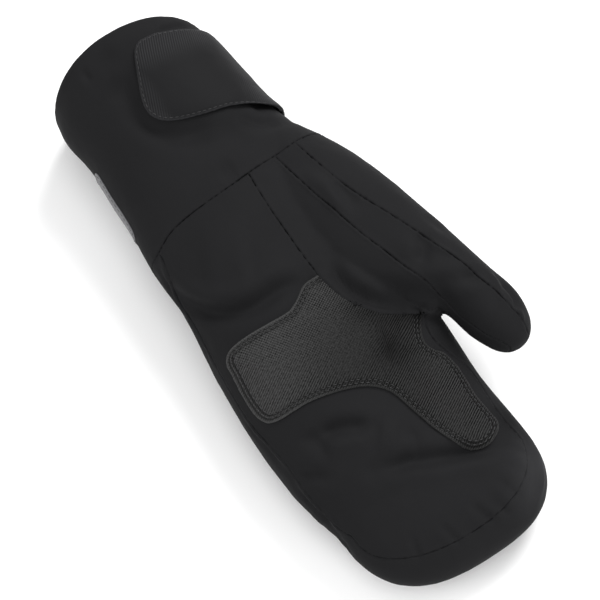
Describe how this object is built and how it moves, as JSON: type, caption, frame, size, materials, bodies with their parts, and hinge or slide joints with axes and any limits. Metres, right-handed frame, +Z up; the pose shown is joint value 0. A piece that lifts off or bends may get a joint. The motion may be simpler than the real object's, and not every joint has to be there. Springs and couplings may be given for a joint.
{
  "type": "waterproof overglove",
  "caption": "Waterproof overglove for the left hand: a roomy shell mitten with a separate thumb, a wide cuff with a closing strap and a shaped grip patch across the palm.",
  "frame": {"origin": "middle of the glove's bounding box in plan, on the surface that it lies on", "axes": "+Z points up out of the palm, +Y towards the fingertips, and the thumb is on the -X side"},
  "size_m": [0.1554, 0.3298, 0.0825],
  "materials": {
    "shell_cloth": "matt charcoal waterproof shell cloth",
    "grip_cloth": "ribbed dark grey grip cloth",
    "strap_cloth": "smooth dark grey strap cloth",
    "reflective_cloth": "satin grey reflective cloth"
  },
  "bodies": {
    "root": {"cuff": "shell_cloth", "palm_panel": "shell_cloth", "back_panel": "shell_cloth", "thumb_inner_panel": "shell_cloth", "thumb_middle_panel": "shell_cloth", "thumb_back_panel": "shell_cloth", "palm_patch": "grip_cloth", "wrist_strap": "strap_cloth", "reflective_panel": "reflective_cloth"}
  },
  "joints": []
}
